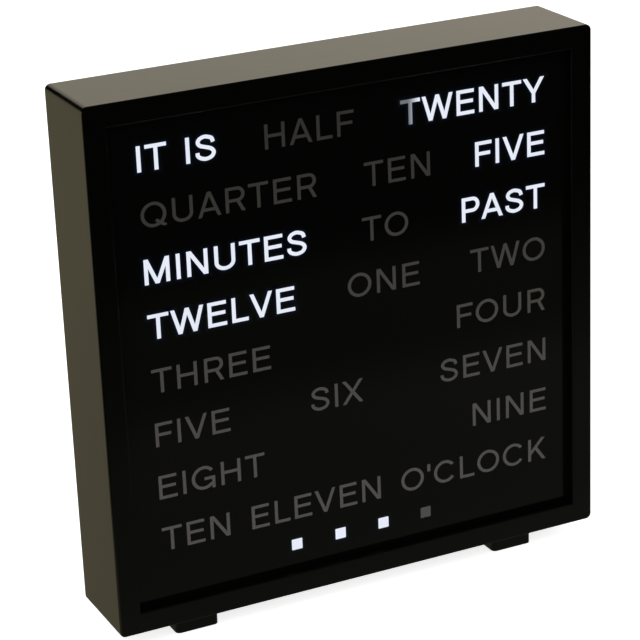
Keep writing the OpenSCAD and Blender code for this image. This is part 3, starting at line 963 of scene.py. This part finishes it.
class WORDCLOCK_OT_board(bpy.types.Operator):
    """Finishes the circuit board and the parts soldered to it"""

    bl_idname = "wordclock.board"
    bl_label = "Board"

    def execute(self, context):
        self.finish_board()
        self.finish_lamps()
        self.finish_chips()
        self.finish_small_parts()
        return {"FINISHED"}

    def finish_board(self):
        """Solder mask over copper tracks on both faces, bare laminate at the edges"""
        material, graph = new_graph("board_laminate_masked")
        place = graph.place()
        tracks = graph.add(
            "ShaderNodeTexVoronoi",
            {"feature": "DISTANCE_TO_EDGE"},
            {"Vector": place, "Scale": 260.0, "Randomness": 0.35},
            "Distance",
        )
        copper = graph.spread(tracks, 0.10, 0.13, 1.0, 0.0)
        face = graph.spread(abs(graph.facing("Y")), 0.6, 0.9)
        mask_colour = graph.mix(copper, (0.010, 0.082, 0.034), (0.022, 0.140, 0.060))
        weave = graph.noise(0.0005, 2.0, (1.0, 4.0, 1.0))
        edge = graph.mix(weave, (0.36, 0.31, 0.16), (0.48, 0.42, 0.24))
        graph.surface(
            {
                "Base Color": graph.mix(face, edge, mask_colour),
                "Roughness": 0.62 - face * 0.36 + weave * 0.05,
                "Normal": graph.bump(copper, 0.00003, 0.8),
            }
        )
        set_finish("led_board", material)

    def finish_lamps(self):
        """White bodies with a yellow eye, which lies below the lamp's front"""
        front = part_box("word_lamps")[0].y

        def eye(graph):
            deep = graph.axis("Y") > front + 0.0001
            ahead = graph.facing("Y") < -0.5
            return deep * ahead

        white = ((0.74, 0.73, 0.66), 0.40, 0.0)
        yellow = ((0.72, 0.52, 0.06), 0.25, 0.0)
        for node in ("word_lamps", "minute_lamps"):
            set_finish(node, two_part(f"{node}_body", eye, white, yellow))

    def finish_chips(self):
        """Black mould with tinned leads. A lead starts where the body's side ends."""
        tin = ((0.60, 0.59, 0.56), 0.28, 1.0)
        mould = ((0.012, 0.012, 0.013), 0.62, 0.0)

        def beside(middles, half):
            """A mask that is 1 further than half from every middle along Z"""

            def mask_of(graph):
                nearest = abs(graph.axis("Z") - middles[0])
                for middle in middles[1:]:
                    pair = (nearest, abs(graph.axis("Z") - middle))
                    nearest = graph.add("ShaderNodeMath", {"operation": "MINIMUM"}, pair)
                return nearest > half

            return mask_of

        low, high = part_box("clock_chip")
        leads = beside([(low.z + high.z) / 2], CHIP_HALF)
        set_finish("clock_chip", two_part("clock_chip_mould", leads, mould, tin))

        reach = (high.z - low.z) / 2
        low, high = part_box("lamp_driver_chips")
        leads = beside([low.z + reach, high.z - reach], CHIP_HALF)
        set_finish("lamp_driver_chips", two_part("driver_chip_mould", leads, mould, tin))

        low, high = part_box("voltage_regulator")
        leads = beside([(low.z + high.z) / 2], REGULATOR_HALF)
        set_finish("voltage_regulator", two_part("regulator_mould", leads, mould, tin))

    def finish_small_parts(self):
        """The crystal's can, the capacitor with a dark mark on its top, and the resistors"""
        can = plated("crystal_can", (0.62, 0.62, 0.60), 0.26, (6.0, 1.0, 1.0))
        set_finish("clock_crystal", can)

        low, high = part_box("supply_capacitor")
        can_from = BOARD_BACK + CAPACITOR_BASE + 0.00002
        top_from = high.y - 0.00005
        mark_to = (low.x + high.x) / 2 - 0.0015

        def sleeve(graph):
            above = graph.axis("Y") > can_from
            marked = (graph.axis("Y") > top_from) * (graph.axis("X") < mark_to)
            return above * (1.0 - marked)

        base = ((0.015, 0.015, 0.016), 0.5, 0.0)
        aluminium = ((0.66, 0.66, 0.65), 0.24, 1.0)
        set_finish("supply_capacitor", two_part("capacitor_can", sleeve, base, aluminium))

        low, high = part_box("chip_resistors")
        middle_z = (low.z + high.z) / 2
        end_from = (high.z - low.z) / 2 - RESISTOR_END

        def ends(graph):
            return abs(graph.axis("Z") - middle_z) > end_from

        glaze = ((0.014, 0.014, 0.016), 0.30, 0.0)
        tin = ((0.60, 0.59, 0.57), 0.35, 1.0)
        set_finish("chip_resistors", two_part("resistor_glaze", ends, glaze, tin))


class WORDCLOCK_OT_cell(bpy.types.Operator):
    """Finishes the backup cell, its holder and the strip over it"""

    bl_idname = "wordclock.cell"
    bl_label = "Backup Cell"

    def execute(self, context):
        holder = moulded("holder_plastic_matt", (0.016, 0.016, 0.018), 0.50)
        cell = plated("cell_steel_brushed", (0.62, 0.61, 0.58), 0.30, (1.0, 1.0, 8.0))
        clip = plated("clip_steel_rolled", (0.60, 0.57, 0.50), 0.24, (8.0, 1.0, 1.0))
        set_finish("cell_holder", holder)
        set_finish("backup_cell", cell)
        set_finish("cell_clip", clip)
        return {"FINISHED"}


class WORDCLOCK_OT_keys(bpy.types.Operator):
    """Finishes the hour and minute switches, plungers and buttons"""

    bl_idname = "wordclock.keys"
    bl_label = "Setting Keys"

    def execute(self, context):
        ivory = (0.62, 0.60, 0.54)
        body = moulded("switch_plastic_black", (0.014, 0.014, 0.015), 0.45)
        plunger = moulded("plunger_plastic_ivory", ivory, 0.38, 0.0006, 0.00001, 0.04)
        button = moulded("button_plastic_grey", (0.026, 0.026, 0.028), 0.42)
        for key in ("hour", "minute"):
            set_finish(f"{key}_switch", body)
            set_finish(f"{key}_plunger", plunger)
            set_finish(f"{key}_button", button)
        return {"FINISHED"}


class WORDCLOCK_OT_socket(bpy.types.Operator):
    """Finishes the power socket and its centre pin"""

    bl_idname = "wordclock.socket"
    bl_label = "Power Socket"

    def execute(self, context):
        socket = moulded("socket_plastic_black", (0.012, 0.012, 0.013), 0.40)
        pin = plated("pin_metal_nickel", (0.68, 0.66, 0.60), 0.20, (1.0, 8.0, 1.0))
        set_finish("power_socket", socket)
        set_finish("socket_pin", pin)
        return {"FINISHED"}


class WORDCLOCK_OT_screws(bpy.types.Operator):
    """Finishes all screws"""

    bl_idname = "wordclock.screws"
    bl_label = "Screws"

    def execute(self, context):
        steel = plated("screw_steel_zinc", (0.50, 0.50, 0.49), 0.32)
        for node in ("board_screws", "cover_screws", "foot_screws"):
            set_finish(node, steel)
        return {"FINISHED"}


class WORDCLOCK_OT_stage(bpy.types.Operator):
    """Sets up the floor, the room, the lamps, the reflection cards and the camera"""

    bl_idname = "wordclock.stage"
    bl_label = "Stage"

    def execute(self, context):
        scene = context.scene
        stage = scene.word_clock_stage
        self.add_room(scene, stage)
        self.add_floor(stage)
        self.add_cards()
        self.add_lamp(scene, "key_lamp", (-1.0, -1.1, 1.6), 1.3, stage.key_power)
        self.add_lamp(scene, "fill_lamp", (1.3, -0.7, 1.2), 1.2, stage.fill_power)
        self.add_camera(scene)
        scene.view_settings.view_transform = "Standard"
        return {"FINISHED"}

    @staticmethod
    def seen_rays(graph):
        """1 for what the camera, a reflection or glass shows, 0 for the light on the object"""
        camera = graph.add("ShaderNodeLightPath", output="Is Camera Ray")
        glossy = graph.add("ShaderNodeLightPath", output="Is Glossy Ray")
        through = graph.add("ShaderNodeLightPath", output="Is Transmission Ray")
        return camera + glossy + through

    def add_room(self, scene, stage):
        """White where it is seen, and dimmer as a light"""
        scene.world = bpy.data.worlds.new("white_room")
        graph = Graph(scene.world)
        seen = self.seen_rays(graph)
        strength = stage.room_light + seen * (1.0 - stage.room_light)
        sockets = {"Color": (1.0, 1.0, 1.0, 1.0), "Strength": strength}
        sky = graph.add("ShaderNodeBackground", None, sockets)
        graph.add("ShaderNodeOutputWorld", None, {"Surface": sky})

    def add_floor(self, stage):
        """Pale paper that is lifted to white where it is seen and keeps the clock's shadow"""
        material, graph = new_graph("pale_floor")
        mottle = graph.noise(0.4, 2.0)
        paper = graph.mix(mottle, (0.80, 0.80, 0.80), (0.83, 0.83, 0.83))
        matt = graph.add("ShaderNodeBsdfDiffuse", None, {"Color": paper})
        lift = self.seen_rays(graph) * stage.floor_lift
        glow = graph.add("ShaderNodeEmission", None, {"Strength": lift})
        both = graph.add("ShaderNodeAddShader", None, (matt, glow))
        graph.add("ShaderNodeOutputMaterial", None, {"Surface": both})
        self.add_sheet("floor", (0.0, 0.0, 0.0), stage.floor_width, stage.floor_width, material)

    def add_cards(self):
        """Cards that only reflections see: dark ones that stand round the clock and lie overhead,
        one on the floor in front that is lighter close to the clock, a grey one at the left and a
        pale one behind"""
        dark = self.card_finish("dark_card", (1.0, 1.0, 0.9), lambda graph: 0.004)
        overhead = self.card_finish("overhead_card", (1.0, 1.0, 0.9), lambda graph: 0.02)
        front = self.card_finish("front_card", (1.0, 1.0, 0.82), self.front_light)
        left = self.card_finish("left_card", (1.0, 0.90, 0.58), self.left_light)
        behind = self.card_finish("back_card", (1.0, 0.92, 0.73), self.back_light)
        cards = (
            ("front_card_low", (0.15, -0.580, 0.0001), 3.0, 1.24, front, None),
            ("front_card_upright", (0.15, -1.2, 1.0), 3.0, 2.0, dark, "X"),
            ("front_card_right", (1.65, -0.7, 1.0), 2.0, 1.0, dark, "Y"),
            ("front_card_left", (-1.35, -0.7, 1.0), 2.0, 1.0, dark, "Y"),
            ("overhead_card", (0.15, 0.35, 2.0), 3.0, 3.1, overhead, None),
            ("back_card_left", (-0.92, 1.5, 0.955), 1.30, 1.47, dark, "X"),
            ("back_card_right", (1.275, 2.2, 1.3), 3.25, 2.0, behind, "X"),
            ("left_card", (-0.684, 0.71, 0.0005), 1.2, 1.58, left, None),
            ("left_card_upright", (-0.95, 1.49, 0.11), 1.3, 0.22, left, "X"),
            ("left_card_high", (-1.35, 0.65, 1.15), 1.7, 1.7, dark, "Y"),
            ("right_card", (0.90, 0.84, 0.0005), 1.50, 1.60, dark, None),
        )
        for name, middle, width, depth, material, turn in cards:
            card = self.add_sheet(name, middle, width, depth, material, turn)
            card.visible_camera = False
            card.visible_diffuse = False
            card.visible_shadow = False
            card.visible_transmission = False

    @staticmethod
    def card_finish(name, colour, light_of):
        material, graph = new_graph(name)
        sockets = {"Color": rgba(colour), "Strength": light_of(graph)}
        light = graph.add("ShaderNodeEmission", None, sockets)
        graph.add("ShaderNodeOutputMaterial", None, {"Surface": light})
        return material

    @staticmethod
    def front_light(graph):
        """Two steps of light towards the clock, in the lane that the clock's front mirrors"""
        base = 0.004
        full = 0.086
        lane_slope = 0.47
        away = graph.axis("Y")
        far = graph.spread(away, -0.33, -0.26, 0.0, 0.45)
        near = graph.spread(away, -0.20, -0.14, 0.0, 0.55)
        foot = graph.spread(away, -0.06, -0.02, 1.0, 1.3)
        right = graph.spread(graph.axis("X"), -0.05, 0.30, 0.85, 1.3)
        across = graph.axis("X") + away * lane_slope
        left_side = graph.spread(across, -0.19, -0.09, 0.1, 1.0)
        right_side = graph.spread(across, 0.09, 0.19, 1.0, 0.1)
        return base + (far + near) * foot * right * left_side * right_side * full

    @staticmethod
    def left_light(graph):
        return graph.spread(graph.axis("Y"), -0.02, 0.40, 0.84, 1.03) * 0.345

    @staticmethod
    def back_light(graph):
        return graph.spread(graph.axis("X"), 0.6, 1.5, 0.775, 0.90)

    @staticmethod
    def add_sheet(name, middle, width, depth, material, turn=None):
        """A flat sheet of the stage, turned upright about X or Y where that is asked"""
        shape = bmesh.new()
        bmesh.ops.create_grid(shape, x_segments=1, y_segments=1, size=0.5)
        bmesh.ops.scale(shape, vec=(width, depth, 1.0), verts=shape.verts)
        if turn:
            around = Matrix.Rotation(math.pi / 2, 3, turn)
            bmesh.ops.rotate(shape, cent=(0.0, 0.0, 0.0), matrix=around, verts=shape.verts)
        bmesh.ops.translate(shape, vec=middle, verts=shape.verts)
        sheet = new_object(name, shape, material)
        return sheet

    @staticmethod
    def add_lamp(scene, name, place, width, power):
        light = bpy.data.lights.new(name, "AREA")
        light.shape = "SQUARE"
        light.size = width
        light.energy = power
        lamp = bpy.data.objects.new(name, light)
        lamp.location = place
        lamp.visible_glossy = False
        aim = Vector((0.0, 0.0, 0.08)) - Vector(place)
        lamp.rotation_euler = aim.to_track_quat("-Z", "Y").to_euler()
        scene.collection.objects.link(lamp)

    @staticmethod
    def add_camera(scene):
        data = bpy.data.cameras.new("camera")
        data.sensor_width = SENSOR_WIDTH
        data.lens = CAMERA_LENS
        data.clip_start = 0.01
        data.clip_end = 100.0
        camera = bpy.data.objects.new("camera", data)
        turn = Matrix((CAMERA_RIGHT, CAMERA_DOWN, CAMERA_FORWARD))
        turn = Matrix.Diagonal((1.0, -1.0, -1.0)) @ turn
        camera.matrix_world = Matrix.Translation(CAMERA_PLACE) @ turn.transposed().to_4x4()
        scene.collection.objects.link(camera)
        scene.camera = camera


STEPS = (
    WORDCLOCK_OT_words,
    WORDCLOCK_OT_squares,
    WORDCLOCK_OT_case,
    WORDCLOCK_OT_panel,
    WORDCLOCK_OT_board,
    WORDCLOCK_OT_cell,
    WORDCLOCK_OT_keys,
    WORDCLOCK_OT_socket,
    WORDCLOCK_OT_screws,
    WORDCLOCK_OT_stage,
)


class WORDCLOCK_PT_sidebar(bpy.types.Panel):
    """Lists the clock's operators and settings"""

    bl_idname = "WORDCLOCK_PT_sidebar"
    bl_label = "Word Clock"
    bl_space_type = "VIEW_3D"
    bl_region_type = "UI"
    bl_category = "Word Clock"

    def draw(self, context):
        for step in STEPS:
            self.layout.operator(step.bl_idname)
        for group in ("word_clock_words", "word_clock_finish", "word_clock_stage"):
            settings = getattr(context.scene, group)
            column = self.layout.column(align=True)
            for name in settings.__annotations__:
                column.prop(settings, name)


CLASSES = (WordSettings, FinishSettings, StageSettings, *STEPS, WORDCLOCK_PT_sidebar)


def register():
    """Adds the classes and the settings"""
    for item in CLASSES:
        bpy.utils.register_class(item)
    bpy.types.Scene.word_clock_words = PointerProperty(type=WordSettings)
    bpy.types.Scene.word_clock_finish = PointerProperty(type=FinishSettings)
    bpy.types.Scene.word_clock_stage = PointerProperty(type=StageSettings)


def unregister():
    """Takes the settings and the classes away"""
    del bpy.types.Scene.word_clock_stage
    del bpy.types.Scene.word_clock_finish
    del bpy.types.Scene.word_clock_words
    for item in reversed(CLASSES):
        bpy.utils.unregister_class(item)


def main():
    """Runs all steps in order"""
    register()
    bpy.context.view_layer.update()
    for step in STEPS:
        group, name = step.bl_idname.split(".")
        getattr(getattr(bpy.ops, group), name)()


if __name__ == "__main__":
    main()
